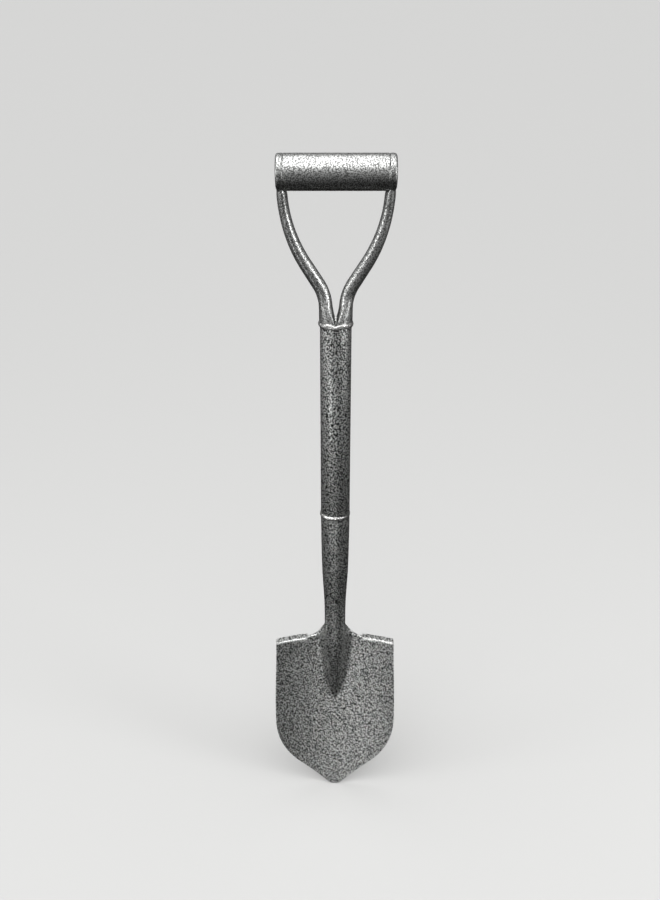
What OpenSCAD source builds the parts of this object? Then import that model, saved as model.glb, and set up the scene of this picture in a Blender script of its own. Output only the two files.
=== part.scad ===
// All-steel digging shovel: a pressed round-point blade with a rolled socket, a welded tube shaft
// and a two-armed fork that carries a steel tube grip on a peened rod.
// Millimetres, +Z up, tip of the blade at z = 0, blade facing -Y.

/* [Blade] */
// Half of the blade's width across its straight sides
blade_half_w = 68.5; // [60:0.5:75]
// Thickness of the pressed sheet
sheet_t = 2; // [1.5:0.1:2.4]
// Height of the foot treads above the tip
tread_z = 196; // [190:1:204]
// Depth of each foot tread, front to back
tread_depth = 9.5; // [8:0.5:12]
// Distance of each tread's inner end from the centre line
tread_inner_x = 31; // [30:0.5:34]
// How much closer to the centre line each side is at the treads than where it is widest
side_draw = 2.2; // [0:0.2:3]
// Radius across the dished blade
dish_r = 177; // [150:1:260]
// How far the sheet's centre line stands behind the shaft's axis at the treads
sheet_back_y = 8; // [7:0.5:9]
// Forward lean of the blade below the treads, as a slope
lean_slope = 0.095; // [0.05:0.005:0.12]
// Radius of the curve where the straight sides turn to the point
side_r = 84; // [80:1:92]
// Half angle of the point, measured from the centre line
point_angle = 48; // [46:1:52]
// Rounding of the tip
nose_r = 12; // [8:1:16]
// Height of the tip of the raised ridge
ridge_tip_z = 113; // [102:1:124]
// Radius of the valleys beside the ridge
valley_r = 13; // [12:0.5:14]
// Radius of the shoulders between neck and treads
shoulder_r = 23; // [22:1:26]

/* [Socket] */
// Outer diameter of the neck, the narrowest part of the socket
neck_d = 23; // [21:0.5:25]
// Height of the neck
neck_z = 235; // [233:1:240]
// Height at which the rolled edges meet behind the socket
seam_z = 249; // [245:1:255]

/* [Shaft] */
// Outer diameter of the shaft tube
shaft_d = 30; // [28:0.5:32]
// Wall of the shaft tube
shaft_wall = 1.5; // [1.2:0.1:2]
// Height of the weld between socket and shaft
shaft_bottom_z = 364; // [356:1:376]
// Height of the weld between shaft and fork
shaft_top_z = 575; // [541:1:600]

/* [Fork] */
// Wall of the fork arms
arm_wall = 1.5; // [1.2:0.1:1.8]
// Lean of the arms between their two bends
arm_lean = 32; // [30:1:34]
// Lean of the arms just above the shaft
base_lean = 5; // [4:1:7]
// Radius of the lower bend
lower_bend_r = 45; // [40:1:50]
// Radius of the upper bend
upper_bend_r = 136; // [130:1:140]
// Width of an arm at its base
arm_base_w = 15.2; // [14.6:0.1:15.4]
// Width of an arm between its bends
arm_w = 12.8; // [12:0.1:13.5]
// Thickness of the flattened ears beside the grip
ear_t = 6.5; // [5:0.5:7]

/* [Grip] */
// Outer diameter of the grip tube and of the ears
grip_d = 32; // [31:0.5:35]
// Length of the grip tube between the ears
grip_len = 93; // [91:0.5:97]
// Wall of the grip tube
grip_wall = 1.5; // [1.2:0.1:2]
// Diameter of the rod through the grip
rod_d = 8; // [6:0.5:10]
// Length of each plug inside the grip tube
plug_len = 12; // [8:1:20]

/* [Hidden] */
$fn = 64;

steel = [0.33, 0.34, 0.33];
weld_steel = [0.52, 0.53, 0.52];

// Small clearance between pieces that slide into each other
fit = 0.1;
// Height of the bead over the socket's seam, and its clearance from the sheet
seam_h = 1.2;
seam_gap = 0.08;
// How far the ring welds stand proud of the tubes
weld_proud = 1.2;
// Quadratic part of the blade's forward sweep
lean_curve = 0.0004;
// Radius of the bend at the front of each tread, on the middle of the sheet
tread_bend_r = 1.5;
// Counts of the blade's grid
inner_cols = 16;
outer_cols = 7;
plain_rows = 8;
pan_rows = 30;
shoulder_rows = 11;
roll_rows = 9;
socket_rows = 9;
tread_rows = 6;

function mix(a, b, k) = a + (b - a) * k;
function ramp(a, b, v) = max(0, min(1, (v - a) / (b - a)));
function ease(a, b, v) = let (k = ramp(a, b, v)) k * k * (3 - 2 * k);
function unit(v) = v / norm(v);
function mirror_x(p) = [-p[0], p[1], p[2]];

// ---- Blade and socket -------------------------------------------------------------------

// Middle radius of the socket, following its S-shaped taper down to the neck
socket_top_r = (shaft_d - sheet_t) / 2;
neck_r = (neck_d - sheet_t) / 2;
function socket_r(z) =
    mix(neck_r, socket_top_r, 0.42 * ease(neck_z, neck_z + 62, z)
        + 0.38 * ease(neck_z + 16, neck_z + 84, z) + 0.2 * ease(neck_z + 60, shaft_bottom_z, z));

// Centre line of the dished sheet, seen from the side
function sheet_y(z) =
    let (down = max(0, tread_z - z)) sheet_back_y - lean_slope * down - lean_curve * down * down;

// Front line of the ridge: it leaves the neck and sinks into the sheet at its tip
function ridge_k(z) = ramp(ridge_tip_z, open_z, z);
function ridge_h(z) =
    let (k = ridge_k(z), top = sheet_back_y + neck_r) top * (1 - pow(1 - k, 1.55)) * pow(k, 0.25);
function ridge_r(z) = z > open_z ? socket_r(z) : mix(4, neck_r, pow(ridge_k(z), 0.8));

// Outline of the point: side arc, straight flank and rounded nose
flank_x = blade_half_w - side_r * (1 - cos(point_angle));
flank_z = flank_x / tan(point_angle) - nose_r * (1 / sin(point_angle) - 1);
side_z = flank_z + side_r * sin(point_angle);
function outline_z(x) =
    x < nose_r * cos(point_angle) ? nose_r - sqrt(nose_r * nose_r - x * x)
    : x < flank_x ? flank_z - (flank_x - x) / tan(point_angle)
    : side_z - sqrt(max(0, side_r * side_r - pow(x - blade_half_w + side_r, 2)));

// Turning angles of half a cross-section: round the ridge, then back through the valley.
// Above the shoulders the valley is gone and the two edges roll on until they meet.
open_z = tread_z + 2;
close_z = open_z + shoulder_r;
closed_turn = 178.5;
function round_angle(z) =
    let (blade_turn = acos(max(-0.2, 1 - ridge_h(min(z, open_z)) / (ridge_r(z) + valley_r))))
    z < open_z ? blade_turn
    : mix(mix(blade_turn, 90, ease(open_z, close_z, z)), closed_turn, ease(close_z, seam_z, z));
function end_angle(z) =
    z < open_z ? 0 : round_angle(z) * (1 - pow(1 - ramp(open_z, close_z, z), 1.6));

// Half width of the shoulders above the treads
function shoulder_x(z) =
    let (down = max(0, close_z - z))
    neck_r + shoulder_r - sqrt(max(0, shoulder_r * shoulder_r - down * down));

// Point at distance s from the ridge's front line, on the cross-section at height z
function section(s, z) =
    let (r = ridge_r(z), turn = round_angle(z), last = end_angle(z),
         s1 = r * turn * PI / 180, s2 = s1 + valley_r * (turn - last) * PI / 180,
         a = s / r * 180 / PI, b = turn - (s - s1) / valley_r * 180 / PI,
         x1 = r * sin(turn), y1 = r * (1 - cos(turn)),
         x2 = x1 + valley_r * (sin(turn) - sin(last)), y2 = y1 + valley_r * (cos(last) - cos(turn)))
    s <= s1 ? [r * sin(a), r * (1 - cos(a))]
    : s <= s2 ? [x1 + valley_r * (sin(turn) - sin(b)), y1 + valley_r * (cos(b) - cos(turn))]
    : [x2 + (s - s2) * cos(last), y2 + (s - s2) * sin(last)];

// Straight length left between the rolled part and the sheet's edge, above the treads
edge_len = 3;

// Distance along the section from the front line to the end of the inner columns
function inner_len(z) =
    let (r = ridge_r(z), turn = round_angle(z), last = end_angle(z),
         s2 = (r * turn + valley_r * (turn - last)) * PI / 180,
         x2 = r * sin(turn) + valley_r * (sin(turn) - sin(last)),
         edge = z < open_z ? tread_inner_x : min(tread_inner_x, shoulder_x(z)))
    z < close_z ? s2 + max(0, edge - x2) / max(0.45, cos(last)) + edge_len * ease(open_z, close_z, z)
    : s2 + edge_len * pow(1 - ease(close_z, seam_z, z), 1.5);

// Middle surface: column k runs from 0 at the centre to 1 at the tread's inner end,
// and from 1 to 2 across the outer part; negative columns are the other side
function skin(k, z) =
    k < 0 ? mirror_x(skin(-k, z))
    : let (front = z < open_z ? sheet_y(z) - ridge_h(z) : -ridge_r(z),
           p = section(min(k, 1) * inner_len(z), z),
           edge_x = blade_half_w - side_draw * ease(ridge_tip_z, tread_z, z),
           x = p[0] + max(0, k - 1) * (edge_x - tread_inner_x),
           dish = (1 - ease(open_z, close_z, z)) * x * x / (2 * dish_r))
    [x, front + p[1] - dish, z];

// Unit normal of the middle surface, pointing to the front
function skin_normal(k, z) =
    let (d = 0.01, across = skin(k + d, z) - skin(k - d, z), up = skin(k, z + d) - skin(k, z - d))
    unit(cross(across, up));

// Front and back points of the sheet at one grid place
function sheet_pair(k, z) =
    let (p = skin(k, z), n = skin_normal(k, z) * sheet_t / 2) [p + n, p - n];

// The outer columns start beside a narrow slit that frees the tread's inner end
slit = 0.02;
ks = concat(
    [for (i = [outer_cols : -1 : 0]) -(1 + slit + (1 - slit) * sin(90 * i / outer_cols))],
    [for (i = [-inner_cols : inner_cols]) i / inner_cols],
    [for (i = [0 : outer_cols]) 1 + slit + (1 - slit) * sin(90 * i / outer_cols)]);

// Heights of the rows: the pan follows the point's outline up to the bend below the tread,
// and its rows lie closer together where the ridge is
bend_z = tread_z - tread_bend_r - sheet_t / 2;
function column_x(k) =
    k < 1 ? k * tread_inner_x : mix(tread_inner_x, blade_half_w, k - 1);
function pan_z(k, row) =
    let (ridge_start = (ridge_tip_z - 12) / bend_z,
         part = row < plain_rows ? ridge_start * row / plain_rows
             : mix(ridge_start, 1, (row - plain_rows) / (pan_rows - plain_rows)))
    mix(outline_z(column_x(abs(k))), bend_z, part);
neck_heights = concat(
    [for (j = [1 : shoulder_rows]) mix(bend_z, close_z, j / shoulder_rows)],
    [for (j = [1 : roll_rows]) mix(close_z, seam_z, j / roll_rows)],
    [for (j = [1 : socket_rows]) mix(seam_z, shaft_bottom_z, j / socket_rows)]);

// Rows of the turned-back tread: a quarter bend, then the flat
function tread_pair(k, row) =
    let (turn = 90 * min(1, row / (tread_rows - 1)), base = skin(k, bend_z),
         flat_len = row == tread_rows ? tread_depth - tread_bend_r - sheet_t / 2 : 0,
         p = base + [0, tread_bend_r * (1 - cos(turn)) + flat_len, tread_bend_r * sin(turn)],
         n = [0, -cos(turn), sin(turn)] * sheet_t / 2)
    [p + n, p - n];

function blade_column(k) = concat(
    [for (j = [0 : pan_rows]) sheet_pair(k, pan_z(k, j))],
    abs(k) > 1 ? [for (j = [1 : tread_rows]) tread_pair(k, j)]
    : [for (z = neck_heights) sheet_pair(k, z)]);

// Closed solid from columns of front and back points; shared[c] is how many rows columns
// c and c + 1 have in common, and beyond them each column has a free edge
module plate(columns, shared) {
    starts = [for (c = 0, n = 0; c < len(columns); n = n + 2 * len(columns[c]), c = c + 1) n];
    last = len(columns) - 1;
    points = [for (column = columns, pair = column, p = pair) p];
    function at(c, j, side) = starts[c] + 2 * j + side;
    function quad(a, b, c, d) = [[a, b, c], [a, c, d]];
    function rows_left(c) = c == 0 ? 1 : shared[c - 1];
    function rows_right(c) = c == last ? 1 : shared[c];
    fronts = [for (c = [0 : last - 1], j = [0 : 1 : shared[c] - 2], f =
        quad(at(c, j, 0), at(c, j + 1, 0), at(c + 1, j + 1, 0), at(c + 1, j, 0))) f];
    backs = [for (c = [0 : last - 1], j = [0 : 1 : shared[c] - 2], f =
        quad(at(c, j, 1), at(c + 1, j, 1), at(c + 1, j + 1, 1), at(c, j + 1, 1))) f];
    bottoms = [for (c = [0 : last - 1], f =
        quad(at(c, 0, 0), at(c + 1, 0, 0), at(c + 1, 0, 1), at(c, 0, 1))) f];
    tops = [for (c = [0 : last - 1], f = let (j = shared[c] - 1)
        quad(at(c, j, 0), at(c, j, 1), at(c + 1, j, 1), at(c + 1, j, 0))) f];
    lefts = [for (c = [0 : last], j = [rows_left(c) - 1 : 1 : len(columns[c]) - 2], f =
        quad(at(c, j, 0), at(c, j, 1), at(c, j + 1, 1), at(c, j + 1, 0))) f];
    rights = [for (c = [0 : last], j = [rows_right(c) - 1 : 1 : len(columns[c]) - 2], f =
        quad(at(c, j, 0), at(c, j + 1, 0), at(c, j + 1, 1), at(c, j, 1))) f];
    polyhedron(points, concat(fronts, backs, bottoms, tops, lefts, rights), convexity = 8);
}

module blade() {
    columns = [for (k = ks) blade_column(k)];
    shared = [for (c = [0 : len(ks) - 2])
        let (crosses_slit = (abs(ks[c]) > 1) != (abs(ks[c + 1]) > 1))
        crosses_slit ? pan_rows + 1 : len(columns[c])];
    color(steel) translate(axis) plate(columns, shared);
}

// Bead over the socket's seam, lying on the rolled sheet's back
module socket_seam_weld() {
    half_angle = 7;
    rows = 22;
    cols = 6;
    function bead_pair(i, j) =
        let (z = mix(seam_z + 2, shaft_bottom_z - 3, j / rows), across = 2 * i / cols - 1,
             along = 2 * j / rows - 1, a = 90 + half_angle * across,
             r = socket_r(z) + sheet_t / 2 + seam_gap,
             h = mix(0.2, seam_h, (1 - across * across) * (1 - pow(along, 12))))
        [[(r + h) * cos(a), (r + h) * sin(a), z], [r * cos(a), r * sin(a), z]];
    color(weld_steel) translate(axis)
        plate([for (i = [0 : cols]) [for (j = [0 : rows]) bead_pair(i, j)]],
            [for (i = [1 : cols]) rows + 1]);
}

// ---- Shaft --------------------------------------------------------------------------------

module shaft_tube() {
    color(steel) translate(axis + [0, 0, shaft_bottom_z]) difference() {
        cylinder(h = shaft_top_z - shaft_bottom_z, d = shaft_d);
        translate([0, 0, -1])
            cylinder(h = shaft_top_z - shaft_bottom_z + 2, d = shaft_d - 2 * shaft_wall);
    }
}

// Rounded ring of weld metal around a joint; step lets it clear a wider piece above the joint
module weld_ring(z, step) {
    height = 4.4;
    inner = shaft_d / 2;
    bead_r = (height * height / 4 + weld_proud * weld_proud) / (2 * weld_proud);
    color(weld_steel) translate(axis + [0, 0, z]) rotate_extrude() difference() {
        translate([inner + step + weld_proud - bead_r, 0]) circle(r = bead_r);
        translate([0, -height]) square([inner, 2 * height]);
        square([inner + step, height]);
    }
}

module socket_weld() { weld_ring(shaft_bottom_z, 0); }

module fork_weld() { weld_ring(shaft_top_z, arm_step); }

// ---- Fork ---------------------------------------------------------------------------------

// Each arm starts beside the centre line, leans out in two bends and ends in a flat ear
arm_gap = 0.3;
base_x = arm_base_w / 2 + arm_gap;
arm_step = max(0, arm_base_w + arm_gap - shaft_d / 2 + fit);
ear_outer_x = grip_len / 2 + ear_t;
arm_top_w = 9.8;
arm_top_x = ear_outer_x - arm_top_w / 2;
base_len = 20;
bends_x = lower_bend_r * (cos(base_lean) - cos(arm_lean)) + upper_bend_r * (1 - cos(arm_lean));
lean_len = (arm_top_x - base_x - base_len * sin(base_lean) - bends_x) / sin(arm_lean);
lower_bend_len = lower_bend_r * (arm_lean - base_lean) * PI / 180;
upper_bend_len = upper_bend_r * arm_lean * PI / 180;
bent_len = base_len + lower_bend_len + lean_len + upper_bend_len;
arm_rise = base_len * cos(base_lean) + lower_bend_r * (sin(arm_lean) - sin(base_lean))
    + lean_len * cos(arm_lean) + upper_bend_r * sin(arm_lean);
grip_z = shaft_top_z + arm_rise + 11;

// Place of the shaft's axis: the origin is centred under the bounding box
blade_front_y = min([for (k = ks, j = [0 : pan_rows]) sheet_pair(k, pan_z(k, j))[0][1]]);
back_y = max(grip_d / 2, shaft_d / 2 + arm_step + weld_proud);
axis_y = -(blade_front_y + back_y) / 2;
lift_z = abs(skin_normal(0, 0)[2]) * sheet_t / 2;
axis = [0, axis_y, lift_z];

// Point and lean of the arm's centre line at distance d from its base: [x, z, lean]
function along(p, len, lean) = [p[0] + len * sin(lean), p[1] + len * cos(lean), lean];
function bend(p, r, from, to) =
    let (side = to > from ? 1 : -1)
    [p[0] + side * r * (cos(from) - cos(to)), p[1] + side * r * (sin(to) - sin(from)), to];
function arm_at(d) =
    let (p0 = [base_x, shaft_top_z], p1 = along(p0, base_len, base_lean),
         p2 = bend(p1, lower_bend_r, base_lean, arm_lean), p3 = along(p2, lean_len, arm_lean),
         d2 = base_len + lower_bend_len, d3 = d2 + lean_len)
    d < base_len ? along(p0, d, base_lean)
    : d < d2 ? bend(p1, lower_bend_r, base_lean, base_lean + (d - base_len) / lower_bend_r * 180 / PI)
    : d < d3 ? along(p2, d - d2, arm_lean)
    : d < bent_len ? bend(p3, upper_bend_r, arm_lean, arm_lean - (d - d3) / upper_bend_r * 180 / PI)
    : along(bend(p3, upper_bend_r, arm_lean, 0), d - bent_len, 0);

// Cross-section at distance d: half-round on the shaft, then oval, then flattened to the ear
ear_start = bent_len - 9;
ear_end = bent_len + 2;
function arm_half_w(d) =
    let (tube = mix(arm_base_w / 2, arm_w / 2, ease(0, 22, d)),
         top = mix(tube, arm_top_w / 2, ease(lean_len + base_len, ear_start, d)))
    mix(top, ear_t / 2 - 0.05, ease(ear_start, ear_end, d));
function arm_half_d(d) =
    mix(mix(arm_base_w - 0.4, 7, ease(0, 32, d)), 9, ease(ear_start - 20, ear_end, d));
function arm_ring(d, inset, sides) =
    let (p = arm_at(d), a = arm_half_w(d) - inset, b = arm_half_d(d) - inset,
         round_k = ease(0, 26, d), flat = ease(ear_start, ear_end, d),
         x = p[0] + flat * (ear_outer_x - arm_half_w(d) - p[0]))
    [for (i = [0 : sides - 1])
        let (t = 360 * i / sides, half_round = cos(t) > 0 ? 2 * a * cos(t) - a : -a,
             u = mix(half_round, a * cos(t), round_k))
        [x + u * cos(p[2]), b * sin(t), p[1] - u * sin(p[2])]];

// Closed solid through a list of rings
module loft(rings) {
    n = len(rings[0]);
    last = (len(rings) - 1) * n;
    faces = concat(
        [for (j = [0 : len(rings) - 2], i = [0 : n - 1], f =
            let (a = j * n + i, b = j * n + (i + 1) % n)
            [[a, a + n, b + n], [a, b + n, b]]) f],
        [[for (i = [0 : n - 1]) i]],
        [[for (i = [0 : n - 1]) last + n - 1 - i]]);
    polyhedron([for (ring = rings, p = ring) p], faces, convexity = 6);
}

// Disc beside the grip with a rounded outer rim
module ear() {
    rim_r = 2.6;
    r = grip_d / 2;
    translate([grip_len / 2, 0, grip_z]) rotate([0, 90, 0]) rotate_extrude() union() {
        square([r, ear_t - rim_r]);
        square([r - rim_r, ear_t]);
        translate([r - rim_r, ear_t - rim_r]) intersection() {
            circle(r = rim_r);
            square(rim_r);
        }
    }
}

module fork_arm() {
    sides = 24;
    outer_end = bent_len + 4;
    hollow_end = ear_start - 4;
    outer_rings = 34;
    hollow_rings = 28;
    difference() {
        union() {
            loft([for (j = [0 : outer_rings]) arm_ring(outer_end * j / outer_rings, 0, sides)]);
            ear();
        }
        loft([for (j = [0 : hollow_rings])
            arm_ring(mix(-1, hollow_end, j / hollow_rings), arm_wall, sides)]);
        along_x(grip_len) cylinder(h = grip_len, d = grip_d + 2 * fit);
        rod_hole();
    }
}

module right_fork_arm() {
    color(steel) translate(axis) fork_arm();
}

module left_fork_arm() {
    color(steel) translate(axis) mirror([1, 0, 0]) fork_arm();
}

// ---- Grip ---------------------------------------------------------------------------------

module along_x(len) { translate([-len / 2, 0, grip_z]) rotate([0, 90, 0]) children(); }

module grip_tube() {
    len = grip_len - 2 * fit;
    color(steel) translate(axis) along_x(len) difference() {
        cylinder(h = len, d = grip_d);
        translate([0, 0, -1]) cylinder(h = len + 2, d = grip_d - 2 * grip_wall);
    }
}

// Plug that centres the grip tube on the rod
module grip_plug(x) {
    color(steel) translate(axis + [x, 0, grip_z]) rotate([0, 90, 0]) difference() {
        cylinder(h = plug_len, d = grip_d - 2 * grip_wall - 2 * fit);
        translate([0, 0, -1]) cylinder(h = plug_len + 2, d = rod_d + 2 * fit);
    }
}

module left_grip_plug() { grip_plug(fit - grip_len / 2); }

module right_grip_plug() { grip_plug(grip_len / 2 - plug_len - fit); }

// The rod's ends are peened into countersinks and dressed flush with the ears
head_depth = 2.2;
rod_len = grip_len + 2 * ear_t;
module rod_shape(gap) {
    r = rod_d / 2 + gap;
    cylinder(h = rod_len, r = r);
    cylinder(h = head_depth, r1 = r + head_depth, r2 = r);
    translate([0, 0, rod_len - head_depth]) cylinder(h = head_depth, r1 = r, r2 = r + head_depth);
}

module rod_hole() { along_x(rod_len) rod_shape(fit); }

module grip_rod() { color(steel) translate(axis) along_x(rod_len) rod_shape(0); }

blade();
socket_seam_weld();
socket_weld();
shaft_tube();
fork_weld();
left_fork_arm();
right_fork_arm();
grip_tube();
left_grip_plug();
right_grip_plug();
grip_rod();
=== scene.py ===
"""Looks of an all-steel digging shovel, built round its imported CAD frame.

Shapes are worked out in millimetres in the design frame, where the shaft's axis is x = y = 0 and
the blade's tip is at z = 0, and are placed in the row frame by to_row().
"""

import math

import bpy
import numpy as np
from mathutils import Euler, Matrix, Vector


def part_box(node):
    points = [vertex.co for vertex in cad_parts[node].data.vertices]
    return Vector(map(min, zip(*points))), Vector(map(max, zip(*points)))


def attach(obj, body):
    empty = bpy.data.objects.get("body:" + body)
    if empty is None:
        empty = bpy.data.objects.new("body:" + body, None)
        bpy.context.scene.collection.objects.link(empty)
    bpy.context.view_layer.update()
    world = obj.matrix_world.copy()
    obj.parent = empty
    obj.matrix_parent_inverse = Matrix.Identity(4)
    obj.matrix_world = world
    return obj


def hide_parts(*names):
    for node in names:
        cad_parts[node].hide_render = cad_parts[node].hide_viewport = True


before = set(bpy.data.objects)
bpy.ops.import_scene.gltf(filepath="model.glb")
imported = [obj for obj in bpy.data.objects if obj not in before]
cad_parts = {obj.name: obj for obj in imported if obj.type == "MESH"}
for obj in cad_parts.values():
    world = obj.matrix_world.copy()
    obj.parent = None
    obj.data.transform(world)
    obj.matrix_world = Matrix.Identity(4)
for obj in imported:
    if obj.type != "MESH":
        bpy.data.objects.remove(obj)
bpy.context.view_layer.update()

BODY = "root"
MM = 0.001

# ---- Where the design frame lies in the row frame ------------------------------------------

SHAFT_BOTTOM_Z = 364.0
SHAFT_TOP_Z = 575.0
shaft_lo, shaft_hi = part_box("shaft_tube")
grip_lo, grip_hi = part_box("grip_tube")
ORIGIN = np.array([0.0, (shaft_lo.y + shaft_hi.y) / 2, shaft_lo.z - SHAFT_BOTTOM_Z * MM])
GRIP_Z = ((grip_lo.z + grip_hi.z) / 2 - ORIGIN[2]) / MM
SHAFT_R = (shaft_hi.x - shaft_lo.x) / 2 / MM
GRIP_R = (grip_hi.z - grip_lo.z) / 2 / MM
GRIP_HALF_LEN = (grip_hi.x - grip_lo.x) / 2 / MM


def to_row(points):
    """Points in design millimetres, as an array, in the row frame's metres."""
    return np.asarray(points, float) * MM + ORIGIN


# ---- Camera --------------------------------------------------------------------------------

CAMERA_PITCH = 28.0
CAMERA_DISTANCE = 942.0
CAMERA_AIM = (-5.5, 0.0, 441.0)
CAMERA_ROLL = -0.02
CAMERA_LENS = 37.28

pitch = math.radians(CAMERA_PITCH)
aim = Vector(to_row(CAMERA_AIM))
back = Vector((0, -math.cos(pitch), math.sin(pitch)))
camera = bpy.data.objects.new("camera", bpy.data.cameras.new("camera"))
camera.location = aim + back * CAMERA_DISTANCE * MM
camera.rotation_euler = Euler((math.pi / 2 - pitch, 0, 0)).to_matrix().to_4x4().to_euler()
camera.rotation_euler.rotate_axis("Z", math.radians(CAMERA_ROLL))
camera.data.lens = CAMERA_LENS
camera.data.sensor_width = 36
camera.data.clip_start = 0.01
camera.data.clip_end = 200
bpy.context.scene.collection.objects.link(camera)
bpy.context.scene.camera = camera
bpy.context.scene.view_settings.view_transform = "Standard"

# ---- Mesh helpers --------------------------------------------------------------------------


def mix(a, b, k):
    return a + (b - a) * k


def ramp(a, b, v):
    return np.clip((v - a) / (b - a), 0, 1)


def ease(a, b, v):
    k = ramp(a, b, v)
    return k * k * (3 - 2 * k)


def make_piece(name, points, faces, material, slot, replaced=()):
    """A smooth-shaded mesh piece that rides on the frame's body."""
    mesh = bpy.data.meshes.new(name)
    mesh.from_pydata([tuple(p) for p in to_row(points)], [], [tuple(f) for f in faces])
    mesh.validate()
    mesh.polygons.foreach_set("use_smooth", [True] * len(mesh.polygons))
    mesh.materials.append(material)
    piece = bpy.data.objects.new(name, mesh)
    bpy.context.scene.collection.objects.link(piece)
    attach(piece, BODY)
    if replaced:
        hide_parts(*replaced)
    return piece


def apply_modifiers(piece):
    """Replaces the piece's mesh with its modified one."""
    graph = bpy.context.evaluated_depsgraph_get()
    made = bpy.data.meshes.new_from_object(piece.evaluated_get(graph))
    piece.modifiers.clear()
    made.polygons.foreach_set("use_smooth", [True] * len(made.polygons))
    piece.data = made


def grid_faces(rows, cols, closed):
    """Quads between consecutive rows of cols points.

    closed joins each row's last point to its first."""
    faces = []
    for j in range(rows - 1):
        for i in range(cols if closed else cols - 1):
            n = (i + 1) % cols
            faces.append((j * cols + i, j * cols + n, (j + 1) * cols + n, (j + 1) * cols + i))
    return faces


def rounded_corner(r, h, radius, start, steps=5):
    """Points of a corner's arc: centre (r, h), from angle start over a quarter turn, in degrees."""
    return [
        (r + radius * math.cos(math.radians(start + 90 * i / steps)),
         h + radius * math.sin(math.radians(start + 90 * i / steps)))
        for i in range(steps + 1)
    ]


def revolve(profile, segments, along_x=False):
    """Closed profile of (radius, height) points turned about the z axis, or about the x axis."""
    angle = np.linspace(0, 2 * math.pi, segments, endpoint=False)
    rows = []
    for radius, height in profile + [profile[0]]:
        a, b, c = radius * np.cos(angle), radius * np.sin(angle), np.full(segments, height)
        rows.append(np.stack((c, a, b) if along_x else (a, b, c), axis=1))
    points = np.concatenate(rows[:-1])
    count = len(profile) * segments
    faces = [tuple(v % count for v in f) for f in grid_faces(len(rows), segments, True)]
    return points, faces


# ---- Materials -----------------------------------------------------------------------------

PATCH_SIZE = 0.024  # metres between slightly lighter and darker areas of the paint


def hammertone(name, cell, island, pit, roughness, bump, blend=0.035):
    """Glossy metallic paint that has dried into light islands with a darker net between them.

    cell is the noise's grain in metres, island and pit are the colours of islands and net, and
    roughness holds theirs in that order. blend is half the noise range in which one turns into
    the other."""
    material = bpy.data.materials.new(name)
    material.use_nodes = True
    tree = material.node_tree
    tree.nodes.clear()

    def node(kind, **inputs):
        made = tree.nodes.new(kind)
        for key, value in inputs.items():
            made.inputs[key.replace("_", " ")].default_value = value
        return made

    def link(source, output, target, socket):
        tree.links.new(source.outputs[output], target.inputs[socket])

    def spread(source, output, low, high, to_low, to_high, smooth=False):
        made = node("ShaderNodeMapRange", From_Min=low, From_Max=high,
                    To_Min=to_low, To_Max=to_high)
        if smooth:
            made.interpolation_type = "SMOOTHSTEP"
        link(source, output, made, "Value")
        return made

    def combine(operation, first, second):
        made = tree.nodes.new("ShaderNodeMath")
        made.operation = operation
        link(first, 0, made, 0)
        link(second, 0, made, 1)
        return made

    output = node("ShaderNodeOutputMaterial")
    shader = node("ShaderNodeBsdfPrincipled", Metallic=1.0)
    shader.inputs["Coat Weight"].default_value = 0.7
    shader.inputs["Coat Roughness"].default_value = 0.16
    link(shader, "BSDF", output, "Surface")

    # One noise, cut off near its middle value, gives the islands and the net between them
    place = node("ShaderNodeTexCoord")
    turned = node("ShaderNodeMapping", Rotation=(0.64, 0.41, 0.89))
    link(place, "Object", turned, "Vector")
    labyrinth = node("ShaderNodeTexNoise", Scale=1 / cell, Detail=0.6, Roughness=0.4)
    link(turned, "Vector", labyrinth, "Vector")
    film = spread(labyrinth, "Fac", 0.5 - blend, 0.5 + blend, 0.0, 1.0, smooth=True)
    patches = node("ShaderNodeTexNoise", Scale=1 / PATCH_SIZE, Detail=3.0)
    link(turned, "Vector", patches, "Vector")
    broad_tone = spread(patches, "Fac", 0.3, 0.7, 0.96, 1.03)
    tone = combine("MULTIPLY", film, broad_tone)
    paint = node("ShaderNodeMix")
    paint.data_type = "RGBA"
    link(tone, "Value", paint, "Factor")
    paint.inputs["A"].default_value = (*pit, 1)
    paint.inputs["B"].default_value = (*island, 1)
    tree.links.new(paint.outputs["Result"], shader.inputs["Base Color"])
    gloss = spread(film, "Result", 0.0, 1.0, roughness[1], roughness[0])
    link(gloss, "Result", shader, "Roughness")
    relief = node("ShaderNodeBump", Strength=bump, Distance=cell * 0.2)
    link(film, "Result", relief, "Height")
    link(relief, "Normal", shader, "Normal")
    return material


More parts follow.
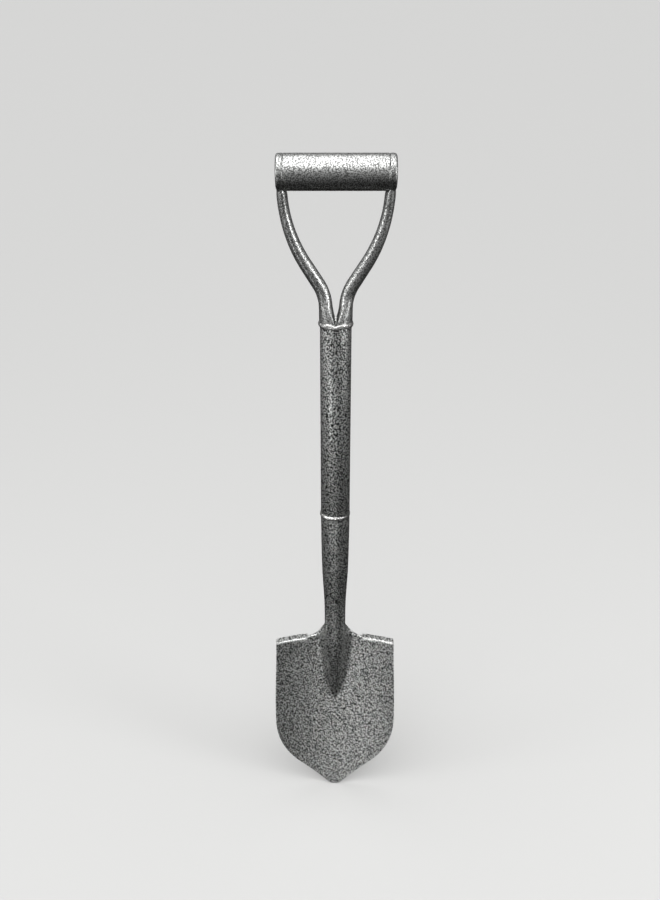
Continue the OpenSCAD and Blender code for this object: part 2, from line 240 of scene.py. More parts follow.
def turned_steel(name):
    """Bare turned steel with fine rings round the x axis and a little tarnish."""
    material = bpy.data.materials.new(name)
    material.use_nodes = True
    tree = material.node_tree
    shader = tree.nodes["Principled BSDF"]
    shader.inputs["Metallic"].default_value = 1.0
    place = tree.nodes.new("ShaderNodeTexCoord")
    stretch = tree.nodes.new("ShaderNodeMapping")
    stretch.inputs["Scale"].default_value = (4000, 60, 60)
    rings = tree.nodes.new("ShaderNodeTexNoise")
    rings.inputs["Scale"].default_value = 1.0
    tarnish = tree.nodes.new("ShaderNodeTexNoise")
    tarnish.inputs["Scale"].default_value = 160.0
    colour = tree.nodes.new("ShaderNodeValToRGB")
    colour.color_ramp.elements[0].color = (0.32, 0.31, 0.30, 1)
    colour.color_ramp.elements[1].color = (0.56, 0.56, 0.55, 1)
    gloss = tree.nodes.new("ShaderNodeMapRange")
    gloss.inputs["To Min"].default_value = 0.28
    gloss.inputs["To Max"].default_value = 0.5
    relief = tree.nodes.new("ShaderNodeBump")
    relief.inputs["Distance"].default_value = 0.0001
    relief.inputs["Strength"].default_value = 0.4
    tree.links.new(place.outputs["Object"], stretch.inputs["Vector"])
    tree.links.new(stretch.outputs["Vector"], rings.inputs["Vector"])
    tree.links.new(place.outputs["Object"], tarnish.inputs["Vector"])
    tree.links.new(tarnish.outputs["Fac"], colour.inputs["Fac"])
    tree.links.new(colour.outputs["Color"], shader.inputs["Base Color"])
    tree.links.new(tarnish.outputs["Fac"], gloss.inputs["Value"])
    tree.links.new(gloss.outputs["Result"], shader.inputs["Roughness"])
    tree.links.new(rings.outputs["Fac"], relief.inputs["Height"])
    tree.links.new(relief.outputs["Normal"], shader.inputs["Normal"])
    return material


PAINT = hammertone("hammertone_paint", cell=0.00127, island=(0.96, 0.97, 0.95),
                   pit=(0.015, 0.0155, 0.015), roughness=(0.36, 0.44), bump=0.3)
# A lighter copy of the same paint for the weld beads: painted highlight, for the light that their
# upturned tops catch
LIT_WELD_PAINT = hammertone("painted_weld", cell=0.0014, island=(0.96, 0.96, 0.94),
                        pit=(0.45, 0.45, 0.44), roughness=(0.26, 0.36), bump=0.4)
# The same paint with less contrast, as the photo shows it on the fork, grip and tread bends
FORK_PAINT = hammertone("hammertone_paint_fork", cell=0.00112, island=(0.72, 0.727, 0.715),
                        pit=(0.15, 0.152, 0.148), roughness=(0.34, 0.44), bump=0.3, blend=0.09)
STEEL = turned_steel("plain_steel")

# ---- Blade and socket ----------------------------------------------------------------------

SHEET_T = 2.0
HALF_W = 68.5
TREAD_Z = 196.0
TREAD_DEPTH = 9.5
TREAD_INNER_X = 31.0
SIDE_DRAW = 2.2
TREAD_BEND_R = 1.5
DISH_R = 177.0
SHEET_BACK_Y = 8.0
LEAN_SLOPE = 0.095
LEAN_CURVE = 0.0004
SIDE_R = 84.0
POINT_ANGLE = math.radians(48)
NOSE_R = 12.0
RIDGE_TIP_Z = 113.0
RIDGE_TIP_R = 4.0
VALLEY_R = 13.0
SHOULDER_R = 23.0
NECK_D = 23.0
NECK_Z = 235.0
SEAM_Z = 249.0
SOCKET_TAPER = [(0.42, 0, 62), (0.38, 16, 84), (0.2, 60, SHAFT_BOTTOM_Z - NECK_Z)]
RIDGE_RISE_POWER = 1.55
RIDGE_TIP_POWER = 0.25
RIDGE_WIDTH_POWER = 0.8
ROLL_POWER = 1.6
EDGE_FADE_POWER = 1.5
LEAST_COS = 0.45  # keeps the section's straight ends short where they stand steeply
EDGE_LEN = 3.0
SLIT = 0.02
RIM_R = 0.75
SLIT_RIM_R = 0.3
RIM_STEPS = 4
INNER_COLS = 40
OUTER_COLS = 20
PLAIN_ROWS = 36
RIDGE_ROWS = 80
SHOULDER_ROWS = 31
ROLL_ROWS = 25
SOCKET_ROWS = 49
BEND_ROWS = 7
FLAT_ROWS = 4
RIDGE_ROWS_START_Z = RIDGE_TIP_Z - 12

NECK_R = (NECK_D - SHEET_T) / 2
SOCKET_TOP_R = SHAFT_R - SHEET_T / 2
OPEN_Z = TREAD_Z + 2
CLOSE_Z = OPEN_Z + SHOULDER_R
CLOSED_TURN = math.radians(178.5)
BEND_Z = TREAD_Z - TREAD_BEND_R - SHEET_T / 2
EDGE_X = HALF_W - RIM_R  # the grid stops short of the outline by the rim's rounding


def socket_r(z):
    """Middle radius of the socket: each stretch of the taper adds its share between two heights."""
    k = sum(share * ease(NECK_Z + low, NECK_Z + high, z) for share, low, high in SOCKET_TAPER)
    return mix(NECK_R, SOCKET_TOP_R, k)


def sheet_y(z):
    """Centre line of the dished sheet, seen from the side."""
    down = np.maximum(0, TREAD_Z - z)
    return SHEET_BACK_Y - LEAN_SLOPE * down - LEAN_CURVE * down * down


def ridge_k(z):
    return ramp(RIDGE_TIP_Z, OPEN_Z, z)


def ridge_h(z):
    """How far the ridge's front line stands in front of the sheet."""
    k = ridge_k(z)
    return (SHEET_BACK_Y + NECK_R) * (1 - (1 - k) ** RIDGE_RISE_POWER) * k ** RIDGE_TIP_POWER


def ridge_r(z):
    """Radius of the ridge, and of the socket above it."""
    on_blade = mix(RIDGE_TIP_R, NECK_R, ridge_k(z) ** RIDGE_WIDTH_POWER)
    return np.where(z > OPEN_Z, socket_r(z), on_blade)


def round_angle(z):
    """Turn of half the section round its ridge."""
    drop = ridge_h(np.minimum(z, OPEN_Z)) / (ridge_r(z) + VALLEY_R)
    blade_turn = np.arccos(np.maximum(-0.2, 1 - drop))
    opening = mix(blade_turn, math.pi / 2, ease(OPEN_Z, CLOSE_Z, z))
    rolled = mix(opening, CLOSED_TURN, ease(CLOSE_Z, SEAM_Z, z))
    return np.where(z < OPEN_Z, blade_turn, rolled)


def end_angle(z):
    """Direction of the section's straight end: level on the blade, rolled on above it."""
    rolled = round_angle(z) * (1 - (1 - ramp(OPEN_Z, CLOSE_Z, z)) ** ROLL_POWER)
    return np.where(z < OPEN_Z, 0, rolled)


def shoulder_x(z):
    """Half width of the shoulders above the treads."""
    down = np.maximum(0, CLOSE_Z - z)
    return NECK_R + SHOULDER_R - np.sqrt(np.maximum(0, SHOULDER_R**2 - down**2))


def inner_len(z):
    """Length of half a section from the front line to the end of the inner columns."""
    r, turn, last = ridge_r(z), round_angle(z), end_angle(z)
    bent = r * turn + VALLEY_R * (turn - last)
    x = r * np.sin(turn) + VALLEY_R * (np.sin(turn) - np.sin(last))
    edge = np.where(z < OPEN_Z, TREAD_INNER_X, np.minimum(TREAD_INNER_X, shoulder_x(z)))
    below = np.maximum(0, edge - x) / np.maximum(LEAST_COS, np.cos(last))
    below = below + EDGE_LEN * ease(OPEN_Z, CLOSE_Z, z)
    above = EDGE_LEN * (1 - ease(CLOSE_Z, SEAM_Z, z)) ** EDGE_FADE_POWER
    return bent + np.where(z < CLOSE_Z, below, above)


def skin(k, z):
    """Middle surface of the sheet.

    |k| runs from 0 at the centre to 1 at a tread's inner end, and on to 2 at the side."""
    side, k = np.sign(k), np.abs(k)
    r, turn, last = ridge_r(z), round_angle(z), end_angle(z)
    s = np.minimum(k, 1) * inner_len(z)
    s1 = r * turn
    s2 = s1 + VALLEY_R * (turn - last)
    x1, y1 = r * np.sin(turn), r * (1 - np.cos(turn))
    x2 = x1 + VALLEY_R * (np.sin(turn) - np.sin(last))
    y2 = y1 + VALLEY_R * (np.cos(last) - np.cos(turn))
    a, b = s / r, turn - (s - s1) / VALLEY_R
    on_ridge, in_valley = s <= s1, s <= s2
    x = np.where(on_ridge, r * np.sin(a), np.where(
        in_valley, x1 + VALLEY_R * (np.sin(turn) - np.sin(b)), x2 + (s - s2) * np.cos(last)))
    y = np.where(on_ridge, r * (1 - np.cos(a)), np.where(
        in_valley, y1 + VALLEY_R * (np.cos(b) - np.cos(turn)), y2 + (s - s2) * np.sin(last)))
    edge_x = EDGE_X - SIDE_DRAW * ease(RIDGE_TIP_Z, TREAD_Z, z)
    x = x + np.maximum(0, k - 1) * (edge_x - TREAD_INNER_X)
    front = np.where(z < OPEN_Z, sheet_y(z) - ridge_h(z), -r)
    dish = (1 - ease(OPEN_Z, CLOSE_Z, z)) * x * x / (2 * DISH_R)
    return np.stack((side * x, front + y - dish, z + 0 * x), axis=-1)


def skin_normal(k, z):
    """Unit normal of the middle surface, pointing to the front."""
    d = 0.01
    across = skin(k + d, z) - skin(k - d, z)
    up = skin(k, z + d) - skin(k, z - d)
    n = np.cross(across, up)
    return n / np.linalg.norm(n, axis=-1, keepdims=True)


def outline_z(x):
    """Lower outline of the grid: rounded nose, straight flank and side arc."""
    side_r, nose_r = SIDE_R - RIM_R, NOSE_R - RIM_R
    flank_x = EDGE_X - side_r * (1 - math.cos(POINT_ANGLE))
    flank_z = flank_x / math.tan(POINT_ANGLE) - nose_r * (1 / math.sin(POINT_ANGLE) - 1)
    side_z = flank_z + side_r * math.sin(POINT_ANGLE)
    nose = nose_r - np.sqrt(np.maximum(0, nose_r**2 - x * x))
    flank = flank_z - (flank_x - x) / math.tan(POINT_ANGLE)
    side = side_z - np.sqrt(np.maximum(0, side_r**2 - (x - EDGE_X + side_r) ** 2))
    return RIM_R + np.where(x < nose_r * math.cos(POINT_ANGLE), nose,
                            np.where(x < flank_x, flank, side))


def blade_columns():
    """Middle points and normals of every grid column, with the column's k."""
    edge = [1 + SLIT + (1 - SLIT) * math.sin(math.pi / 2 * i / OUTER_COLS)
            for i in range(OUTER_COLS + 1)]
    middle = [i / INNER_COLS for i in range(-INNER_COLS, INNER_COLS + 1)]
    ks = [-k for k in reversed(edge)] + middle + edge
    ridge_start = RIDGE_ROWS_START_Z / BEND_Z
    parts = np.concatenate((np.linspace(0, ridge_start, PLAIN_ROWS, endpoint=False),
                            np.linspace(ridge_start, 1, RIDGE_ROWS)))
    above = np.concatenate((np.linspace(BEND_Z, CLOSE_Z, SHOULDER_ROWS + 1)[1:],
                            np.linspace(CLOSE_Z, SEAM_Z, ROLL_ROWS + 1)[1:],
                            np.linspace(SEAM_Z, SHAFT_BOTTOM_Z, SOCKET_ROWS + 1)[1:]))
    turns = np.linspace(0, math.pi / 2, BEND_ROWS + 1)[1:]
    flat = TREAD_DEPTH - TREAD_BEND_R - SHEET_T / 2 - RIM_R
    tread_rows = [(turn, 0.0) for turn in turns]
    tread_rows += [(turns[-1], flat * i / FLAT_ROWS) for i in range(1, FLAT_ROWS + 1)]
    columns = []
    for k in ks:
        x = abs(k) * TREAD_INNER_X if abs(k) < 1 else mix(TREAD_INNER_X, EDGE_X, abs(k) - 1)
        z = mix(outline_z(x), BEND_Z, parts)
        if abs(k) <= 1:
            z = np.concatenate((z, above))
            columns.append((k, skin(k, z), skin_normal(k, z)))
            continue
        p, n = skin(k, z), skin_normal(k, z)
        for turn, out in tread_rows:
            step = (0, TREAD_BEND_R * (1 - math.cos(turn)) + out, TREAD_BEND_R * math.sin(turn))
            p = np.vstack((p, p[len(parts) - 1] + step))
            n = np.vstack((n, (0, -math.cos(turn), math.sin(turn))))
        columns.append((k, p, n))
    return columns, len(parts)


def blade_mesh():
    """Both faces of the sheet and the rounded rim that joins them."""
    columns, pan_rows = blade_columns()
    lengths = [len(p) for k, p, n in columns]
    start = [sum(lengths[:c]) for c in range(len(columns))]
    quads = []
    for c in range(len(columns) - 1):
        crosses_slit = (abs(columns[c][0]) > 1) != (abs(columns[c + 1][0]) > 1)
        rows = pan_rows if crosses_slit else lengths[c]
        for j in range(rows - 1):
            a, b = start[c] + j, start[c + 1] + j
            quads.append((a, b, b + 1, a + 1))
    middle = np.concatenate([p for k, p, n in columns])
    normal = np.concatenate([n for k, p, n in columns])
    ks = np.concatenate([np.full(len(p), k) for k, p, n in columns])

    # The sheet's free edge, as a loop that keeps the sheet on its left seen from the front
    used = {(q[i], q[(i + 1) % 4]) for q in quads for i in range(4)}
    after = {a: b for a, b in used if (b, a) not in used}
    loop = [min(after)]
    while after[loop[-1]] != loop[0]:
        loop.append(after[loop[-1]])
    loop = np.array(loop)
    m, n = middle[loop], normal[loop]
    ahead = np.roll(m, -1, axis=0) - m
    ahead /= np.linalg.norm(ahead, axis=1, keepdims=True)
    out = np.cross(ahead, n) + np.cross(np.roll(ahead, 1, axis=0), n)
    out /= np.linalg.norm(out, axis=1, keepdims=True)
    # The rim is thin beside the slit and where the rolled edges meet, and full on the shoulders
    tight = (np.abs(np.abs(ks[loop]) - 1) < SLIT * 1.5) & (m[:, 2] > BEND_Z - 0.5)
    leaving = ease(OPEN_Z + 2, OPEN_Z + 10, m[:, 2]) * (1 - ease(CLOSE_Z, SEAM_Z, m[:, 2]))
    leaving = np.where(np.abs(ks[loop]) > 1, 0, leaving)
    r = np.where(tight, mix(SLIT_RIM_R, RIM_R, leaving), RIM_R)[:, None]

    half = SHEET_T / 2
    rings = []
    for face in (1, -1):
        steps = range(1, RIM_STEPS + 1)
        for step in steps if face == 1 else reversed(steps):
            turn = math.pi / 2 * step / RIM_STEPS
            rings.append(m + out * r * math.sin(turn)
                         + n * face * (half - r + r * math.cos(turn)))
    points = np.concatenate([middle + normal * half, middle - normal * half] + rings)
    total, length = len(middle), len(loop)
    faces = list(quads) + [tuple(total + v for v in reversed(q)) for q in quads]
    bands = [loop] + [2 * total + i * length + np.arange(length) for i in range(len(rings))]
    bands.append(total + loop)
    for a, b in zip(bands, bands[1:]):
        for i in range(length):
            nxt = (i + 1) % length
            faces.append((int(a[nxt]), int(a[i]), int(b[i]), int(b[nxt])))
    return points, faces


blade = make_piece("blade_sheet", *blade_mesh(), PAINT, "hammertone_paint", ["blade"])
weighted = blade.modifiers.new("even_shading", "WEIGHTED_NORMAL")
weighted.keep_sharp = True
# The treads' front bends, where they face forward and up, get the milder paint: a painted
# highlight, whose low contrast makes each bend's bright line look solid
BEND_FACING = 0.15  # least part of a bend's normal that points forward, and up
tread_bottom = to_row((0, 0, BEND_Z))[2]
blade.data.materials.append(FORK_PAINT)
for face in blade.data.polygons:
    on_tread = face.center.z > tread_bottom and abs(face.center.x) > TREAD_INNER_X * MM
    if on_tread and face.normal.y < -BEND_FACING and face.normal.z > BEND_FACING:
        face.material_index = 1

# ---- Tubes ---------------------------------------------------------------------------------

SHAFT_INNER_R = 13.5
GRIP_WALL = 1.5
SHAFT_EDGE_R = 0.05
GRIP_EDGE_R = 0.7


def tube_profile(outer, inner, low, high, edge):
    """Closed section of a tube whose outer ends are rounded, as (radius, height) points."""
    return (rounded_corner(outer - edge, low + edge, edge, -90)
            + rounded_corner(outer - edge, high - edge, edge, 0)
            + [(inner, high), (inner, low)])


profile = tube_profile(SHAFT_R, SHAFT_INNER_R, SHAFT_BOTTOM_Z, SHAFT_TOP_Z, SHAFT_EDGE_R)
make_piece("shaft_tube_steel", *revolve(profile, 160), PAINT, "hammertone_paint", ["shaft_tube"])

profile = tube_profile(GRIP_R, GRIP_R - GRIP_WALL, -GRIP_HALF_LEN, GRIP_HALF_LEN, GRIP_EDGE_R)
points, faces = revolve(profile, 176, along_x=True)
make_piece("grip_tube_steel", points + (0, 0, GRIP_Z), faces, FORK_PAINT,
           "hammertone_paint", ["grip_tube"])

# ---- Fork ----------------------------------------------------------------------------------

ARM_BASE_W = 15.2
ARM_W = 12.8
ARM_TOP_W = 9.8
EAR_T = 6.5
EAR_RIM_R = 2.6
EAR_INNER_X = 46.5
EAR_OUTER_X = EAR_INNER_X + EAR_T
ARM_GAP = 0.3
BASE_LEAN = math.radians(5)
ARM_LEAN = math.radians(32)
LOWER_BEND_R = 45.0
UPPER_BEND_R = 136.0
BASE_LEN = 20.0
BASE_X = ARM_BASE_W / 2 + ARM_GAP
BENDS_X = (LOWER_BEND_R * (math.cos(BASE_LEAN) - math.cos(ARM_LEAN))
           + UPPER_BEND_R * (1 - math.cos(ARM_LEAN)))
LEAN_LEN = (EAR_OUTER_X - ARM_TOP_W / 2 - BASE_X - BASE_LEN * math.sin(BASE_LEAN)
            - BENDS_X) / math.sin(ARM_LEAN)
LOWER_BEND_LEN = LOWER_BEND_R * (ARM_LEAN - BASE_LEAN)
BENT_LEN = BASE_LEN + LOWER_BEND_LEN + LEAN_LEN + UPPER_BEND_R * ARM_LEAN
EAR_START = BENT_LEN - 9
EAR_END = BENT_LEN + 2
ARM_LEN = BENT_LEN + 4
ARM_HALF_D = 7.0
EAR_HALF_D = 9.0
WIDTH_CHANGE_LEN = 22.0
ROUNDING_LEN = 26.0
DEPTH_CHANGE_LEN = 32.0
EAR_DEEPENING_LEN = 20.0
EAR_EDGE_R = 0.6
AXIS_R = 0.01  # a turned profile's points near its axis
GRIP_CLEARANCE = 0.2
ARM_VOXEL = 0.5


def arm_at(d):
    """Centre line of the right arm at distance d from its base: x, z and lean."""
    x, z, lean = BASE_X, SHAFT_TOP_Z, BASE_LEAN
    step = min(d, BASE_LEN)
    x, z, d = x + step * math.sin(lean), z + step * math.cos(lean), d - step
    step = min(d, LOWER_BEND_LEN)
    turned = lean + step / LOWER_BEND_R
    x += LOWER_BEND_R * (math.cos(lean) - math.cos(turned))
    z += LOWER_BEND_R * (math.sin(turned) - math.sin(lean))
    lean, d = turned, d - step
    step = min(d, LEAN_LEN)
    x, z, d = x + step * math.sin(lean), z + step * math.cos(lean), d - step
    step = min(d, UPPER_BEND_R * ARM_LEAN)
    turned = lean - step / UPPER_BEND_R
    x -= UPPER_BEND_R * (math.cos(lean) - math.cos(turned))
    z -= UPPER_BEND_R * (math.sin(turned) - math.sin(lean))
    return x, z + (d - step), turned


def arm_ring(d, sides):
    """Section of the right arm at distance d: half-round, then oval, then flattened to the ear."""
    x, z, lean = arm_at(d)
    flat = ease(EAR_START, EAR_END, d)
    width = mix(ARM_BASE_W, ARM_W, ease(0, WIDTH_CHANGE_LEN, d))
    width = mix(width, ARM_TOP_W, ease(LEAN_LEN + BASE_LEN, EAR_START, d))
    half_w = mix(width, EAR_T - 0.1, flat) / 2
    half_d = mix(ARM_BASE_W - 0.4, ARM_HALF_D, ease(0, DEPTH_CHANGE_LEN, d))
    half_d = mix(half_d, EAR_HALF_D, ease(EAR_START - EAR_DEEPENING_LEN, EAR_END, d))
    x += flat * (EAR_OUTER_X - half_w - x)
    t = np.linspace(0, 2 * math.pi, sides, endpoint=False)
    half_round = np.where(np.cos(t) > 0, 2 * half_w * np.cos(t) - half_w, -half_w)
    u = mix(half_round, half_w * np.cos(t), ease(0, ROUNDING_LEN, d))
    return np.stack((x + u * math.cos(lean), half_d * np.sin(t), z - u * math.sin(lean)), axis=1)


def right_arm_mesh():
    """The arm and its ear as two closed overlapping shells; the remesh makes them one."""
    sides, rings = 96, 260
    points = np.concatenate([arm_ring(ARM_LEN * j / (rings - 1), sides) for j in range(rings)])
    # The shoulder under the grip keeps clear of the tube
    y, z = points[:, 1], points[:, 2] - GRIP_Z
    away, clear = np.hypot(y, z), GRIP_R + GRIP_CLEARANCE
    inside = (points[:, 0] < EAR_INNER_X) & (away < clear)
    points[inside, 1] *= clear / away[inside]
    points[inside, 2] = GRIP_Z + z[inside] * clear / away[inside]
    faces = grid_faces(rings, sides, True)
    faces.append(tuple(range(sides - 1, -1, -1)))
    faces.append(tuple(range((rings - 1) * sides, rings * sides)))

    rim = rounded_corner(GRIP_R - EAR_RIM_R, EAR_OUTER_X - EAR_RIM_R, EAR_RIM_R, 0, 8)
    inner_edge = rounded_corner(GRIP_R - EAR_EDGE_R, EAR_INNER_X + EAR_EDGE_R, EAR_EDGE_R, -90, 3)
    profile = [(AXIS_R, EAR_INNER_X)] + inner_edge + rim + [(AXIS_R, EAR_OUTER_X)]
    disc, disc_faces = revolve(profile, 128, along_x=True)
    first = len(points)
    points = np.concatenate((points, disc + (0, 0, GRIP_Z)))
    faces += [tuple(first + v for v in f) for f in disc_faces]
    return points, faces


def make_arm(name, node, mirrored):
    points, faces = right_arm_mesh()
    if mirrored:
        points = points * (-1, 1, 1)
        faces = [tuple(reversed(f)) for f in faces]
    arm = make_piece(name, points, faces, FORK_PAINT, "hammertone_paint", [node])
    remesh = arm.modifiers.new("one_skin", "REMESH")
    remesh.mode = "VOXEL"
    remesh.voxel_size = ARM_VOXEL * MM
    remesh.use_smooth_shade = True
    smooth = arm.modifiers.new("soften", "SMOOTH")
    smooth.factor = 0.5
    smooth.iterations = 8
    apply_modifiers(arm)


make_arm("right_fork_arm_steel", "right_fork_arm", mirrored=False)
make_arm("left_fork_arm_steel", "left_fork_arm", mirrored=True)

# ---- Rod, whose peened ends show as low domes on the ears -----------------------------------

ROD_R = 4.0
HEAD_R = 6.2
HEAD_RISE = 0.3
HEAD_DEPTH = 2.6
rod_end = EAR_OUTER_X + HEAD_RISE
straight_end = EAR_OUTER_X - HEAD_DEPTH


def head_point(degrees):
    """Point of the dome's section, from its edge at 0 degrees towards the axis at 90."""
    turn = math.radians(degrees)
    return HEAD_R * math.cos(turn), rod_end - HEAD_RISE * 2 * (1 - math.sin(turn))


dome = [head_point(degrees) for degrees in range(0, 90, 10)]
other_dome = [(r, -h) for r, h in reversed(dome)]
profile = ([(AXIS_R, -rod_end)] + other_dome + [(ROD_R, -straight_end), (ROD_R, straight_end)]
           + dome + [(AXIS_R, rod_end)])
points, faces = revolve(profile, 64, along_x=True)
make_piece("grip_rod_steel", points + (0, 0, GRIP_Z), faces, FORK_PAINT,
           "hammertone_paint", ["grip_rod"])

# ---- Welds ---------------------------------------------------------------------------------

FOOT_DEPTH = 0.25  # how deep a ring bead's edges are buried in the steel
BEAD_POWER = 0.75
RIPPLES = 44
RIPPLE_H = 0.10
RIPPLE_BEND = 2.2
SEAM_HALF_W = 1.75
SEAM_H = 1.25
SEAM_FOOT_DEPTH = 0.3
SEAM_RIPPLE_H = 0.09


def wander(rng, angle, waves, strength):
    """A smooth closed random curve over the angle."""
    total = np.zeros_like(angle)
    for n in range(1, waves + 1):
        total += rng.normal() * np.sin(n * angle + rng.uniform(0, 2 * math.pi)) / n**0.5
    return strength * total / (0.5 * waves) ** 0.5


def ring_weld(seed, z0, step, height, proud, limit, front_rise, side_rise, blobs):
    """A hand-run bead round the shaft at height z0: rippled, uneven, and wider above by step.

    height and proud are its size, and limit is the radius that it never passes. It climbs by
    front_rise at the front and by side_rise at the sides. Each blob is (angle, width, drop,
    extra): round that angle the bead lies lower by drop, and is thicker and taller by extra.
    Angles are in degrees from +X, and the front is at 270."""
    rng = np.random.default_rng(seed)
    segments, across = 300, 15
    angle = np.linspace(0, 2 * math.pi, segments, endpoint=False)
    half = height / 2 * (1 + wander(rng, angle, 14, 0.13))
    centre = z0 + wander(rng, angle, 9, 0.3)
    centre += front_rise * np.maximum(0, -np.sin(angle)) ** 2 + side_rise * np.cos(angle) ** 2
    rise = proud * (1 + wander(rng, angle, 16, 0.11))
    for at, width, drop, extra in blobs:
        gap = (np.degrees(angle) - at + 180) % 360 - 180
        lump = np.exp(-((gap / width) ** 2))
        centre = centre - drop * lump
        rise = rise + extra * lump
        half = half + 0.5 * extra * lump
    rows = []
    for j in range(across):
        u = 1 - 2 * j / (across - 1)
        body = max(0.0, 1 - u * u) ** BEAD_POWER
        ripple = RIPPLE_H * body * np.sin(angle * RIPPLES + RIPPLE_BEND * u * u)
        z = centre + u * half
        foot = SHAFT_R - FOOT_DEPTH + step * ramp(-0.6, 0.6, z - z0)
        r = np.minimum(foot + FOOT_DEPTH + rise * body - FOOT_DEPTH * (body == 0) + ripple, limit)
        rows.append(np.stack((r * np.cos(angle), r * np.sin(angle), z), axis=1))
    inner = np.full(segments, SHAFT_R - 1.0)
    for z in (rows[-1][:, 2], rows[0][:, 2]):
        rows.append(np.stack((inner * np.cos(angle), inner * np.sin(angle), z), axis=1))
    rows.append(rows[0])
    points = np.concatenate(rows[:-1])
    count = len(points)
    quads = grid_faces(len(rows), segments, True)
    faces = [tuple(reversed([v % count for v in quad])) for quad in quads]
    return points, faces


make_piece(
    "fork_weld_bead",
    *ring_weld(seed=5, z0=SHAFT_TOP_Z + 0.3, step=0.6, height=5.2, proud=1.1, limit=16.8,
               front_rise=2.0, side_rise=0.6,
               blobs=[(270, 13, 1.0, 0.3), (238, 14, -0.4, 0.4), (305, 10, -0.5, 0.3),
                      (90, 9, 0.3, -0.95)]),
    LIT_WELD_PAINT, "painted_weld", ["fork_weld"])
make_piece(
    "socket_weld_bead",
    *ring_weld(seed=11, z0=SHAFT_BOTTOM_Z + 1.4, step=0.0, height=4.0, proud=0.85, limit=16.6,
               front_rise=2.6, side_rise=0.8,
               blobs=[(244, 24, 0.4, 0.7), (285, 5, 0.2, -0.3), (335, 28, 0.0, -0.8)]),
    LIT_WELD_PAINT, "painted_weld", ["socket_weld"])


def seam_weld_mesh():
    """Rippled bead that closes the rolled socket at the back."""
    rng = np.random.default_rng(3)
    rows, cols = 420, 13
    z = np.linspace(SEAM_Z + 2, SHAFT_BOTTOM_Z - 3, rows)
    along = np.linspace(-1, 1, rows)
    width = SEAM_HALF_W * (1 + wander(rng, along * 9, 9, 0.07))
    sway = wander(rng, along * 7, 5, 0.16)
    points = []
    for j in range(cols):
        u = 2 * j / (cols - 1) - 1
        body = np.sqrt(np.maximum(0, 1 - u * u) * (1 - along**12))
        ripple = SEAM_RIPPLE_H * body * np.sin(z * 3.1 - 2.0 * u * u)
        base = socket_r(z) + SHEET_T / 2
        r = base - SEAM_FOOT_DEPTH + body * SEAM_H + ripple
        angle = math.pi / 2 + (sway + u * width) / base
        points.append(np.stack((r * np.cos(angle), r * np.sin(angle), z), axis=1))
    hidden = []
    for j in (cols - 1, 0):
        u = 2 * j / (cols - 1) - 1
        r = socket_r(z) - 0.4
        angle = math.pi / 2 + (sway + u * width) / r
        hidden.append(np.stack((r * np.cos(angle), r * np.sin(angle), z), axis=1))
    loops = points + hidden
    points = np.concatenate(loops)
    count = len(points)
    quads = grid_faces(len(loops) + 1, rows, False)
    faces = [tuple(v % count for v in reversed(quad)) for quad in quads]
    for j in (0, rows - 1):
        cap = [i * rows + j for i in range(len(loops))]
        faces.append(tuple(cap if j == 0 else reversed(cap)))
    return points, faces


make_piece("socket_seam_bead", *seam_weld_mesh(), LIT_WELD_PAINT, "painted_weld",
           ["socket_seam_weld"])

# ---- Better materials for the CAD nodes that stay -------------------------------------------

for name in ("left_grip_plug", "right_grip_plug"):
    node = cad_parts[name]
    node.data.materials.clear()
    node.data.materials.append(STEEL)

# ---- Floor, light and background ------------------------------------------------------------

FLOOR_SIZE = 60.0
floor_mesh = bpy.data.meshes.new("floor")
h = FLOOR_SIZE / 2
floor_mesh.from_pydata([(-h, -h, 0), (h, -h, 0), (h, h, 0), (-h, h, 0)], [], [(0, 1, 2, 3)])
floor = bpy.data.objects.new("floor", floor_mesh)
bpy.context.scene.collection.objects.link(floor)
floor_paint = bpy.data.materials.new("floor")
floor_paint.use_nodes = True
floor_shader = floor_paint.node_tree.nodes["Principled BSDF"]
floor_shader.inputs["Base Color"].default_value = (0.48, 0.48, 0.475, 1)
floor_shader.inputs["Roughness"].default_value = 0.9
floor_mesh.materials.append(floor_paint)
floor.visible_glossy = False

world = bpy.data.worlds.new("studio")
bpy.context.scene.world = world
world.use_nodes = True


def add_world_node(kind, operation=None, **inputs):
    made = world.node_tree.nodes.new(kind)
    if operation:
        made.operation = operation
    for key, value in inputs.items():
        made.inputs[key.replace("_", " ")].default_value = value
    return made


def world_link(source, output, target, socket):
    world.node_tree.links.new(source.outputs[output], target.inputs[socket])


# A dark ground, a pale sky that is brighter on the left and dimmer behind the shovel, and a
# soft glow almost overhead. SKY is (position, level) from straight down at 0 to straight up at 1
toward = add_world_node("ShaderNodeTexCoord")
split = add_world_node("ShaderNodeSeparateXYZ")
world_link(toward, "Generated", split, "Vector")
lift = add_world_node("ShaderNodeMapRange", From_Min=-1.0, From_Max=1.0)
world_link(split, "Z", lift, "Value")
shade = add_world_node("ShaderNodeValToRGB")
world_link(lift, "Result", shade, "Fac")
SKY = [(0.0, 0.01), (0.17, 0.02), (0.25, 0.115), (0.36, 0.145), (0.45, 0.17), (0.53, 0.30),
       (0.64, 0.42), (0.80, 0.58), (0.92, 1.0)]
stops = shade.color_ramp.elements
while len(stops) < len(SKY):
    stops.new(0.5)
for stop, (position, level) in zip(stops, SKY):
    stop.position = position
    stop.color = (level, level, level, 1)
sideways = add_world_node("ShaderNodeMapRange", From_Min=-1.0, From_Max=1.0,
                          To_Min=1.25, To_Max=0.75)
world_link(split, "X", sideways, "Value")
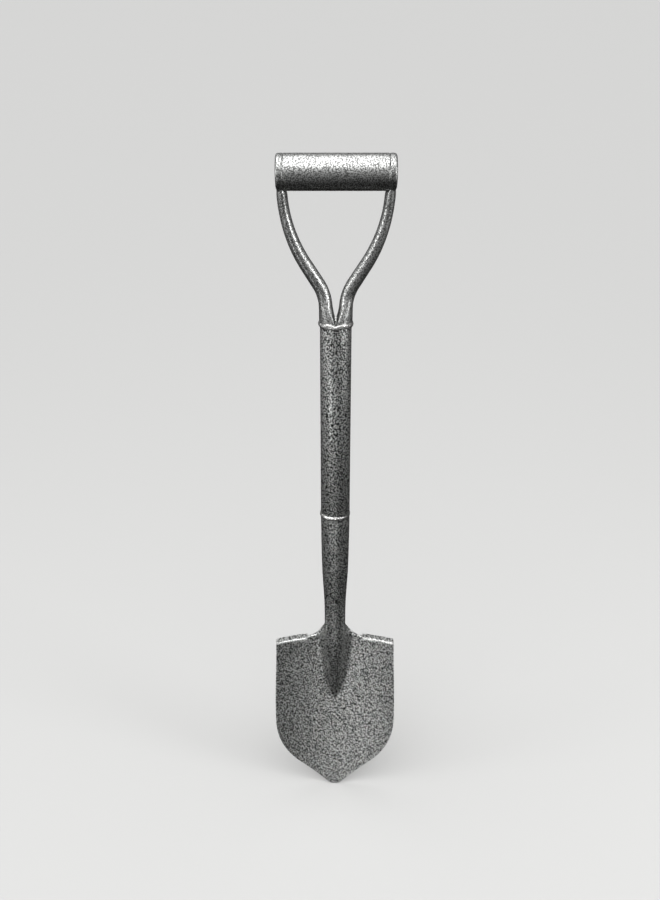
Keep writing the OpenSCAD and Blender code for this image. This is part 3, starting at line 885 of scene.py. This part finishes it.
sky = add_world_node("ShaderNodeMath", "MULTIPLY")
world_link(shade, "Color", sky, 0)
world_link(sideways, "Result", sky, 1)
beyond = add_world_node("ShaderNodeMapRange", From_Min=0.25, From_Max=0.8, To_Min=1.0, To_Max=0.4)
world_link(split, "Y", beyond, "Value")
dimmed = add_world_node("ShaderNodeMath", "MULTIPLY")
world_link(sky, 0, dimmed, 0)
world_link(beyond, "Result", dimmed, 1)
GLOW_TOWARD = Vector((-0.159, -0.202, 1.0)).normalized()
GLOW = 1.9
across = add_world_node("ShaderNodeVectorMath", "DOT_PRODUCT")
world_link(toward, "Generated", across, 0)
across.inputs[1].default_value = GLOW_TOWARD
glow = add_world_node("ShaderNodeMapRange", From_Min=0.60, From_Max=0.95, To_Min=0.0, To_Max=GLOW)
glow.interpolation_type = "SMOOTHSTEP"
world_link(across, "Value", glow, "Value")
total = add_world_node("ShaderNodeMath", "ADD")
world_link(dimmed, 0, total, 0)
world_link(glow, "Result", total, 1)
world_link(total, 0, world.node_tree.nodes["Background"], "Color")


def soft_light(name, position, target, width, height, radiance, spread=180):
    """A soft box of that size in metres, aimed at the target. radiance is how bright it looks."""
    lamp = bpy.data.objects.new(name, bpy.data.lights.new(name, "AREA"))
    lamp.data.shape = "RECTANGLE"
    lamp.data.size, lamp.data.size_y = width, height
    lamp.data.energy = radiance * math.pi * width * height
    lamp.data.spread = math.radians(spread)
    lamp.location = position
    lamp.rotation_euler = (Vector(target) - Vector(position)).to_track_quat("-Z", "Y").to_euler()
    bpy.context.scene.collection.objects.link(lamp)


soft_light("left_strip", (-1.15, -0.32, 0.80), (0, 0, 0.65), 0.4, 0.7, 3.4)
soft_light("right_strip", (1.09, -0.50, 0.80), (0, 0, 0.65), 0.4, 0.6, 6.8)
soft_light("low_front", (-0.06, -0.92, 0.12), (0, 0, 0.10), 0.8, 0.2, 0.55, 50)
soft_light("low_side", (-0.60, -0.70, 0.13), (0, 0, 0.45), 0.3, 0.2, 2.1)

bpy.context.view_layer.update()
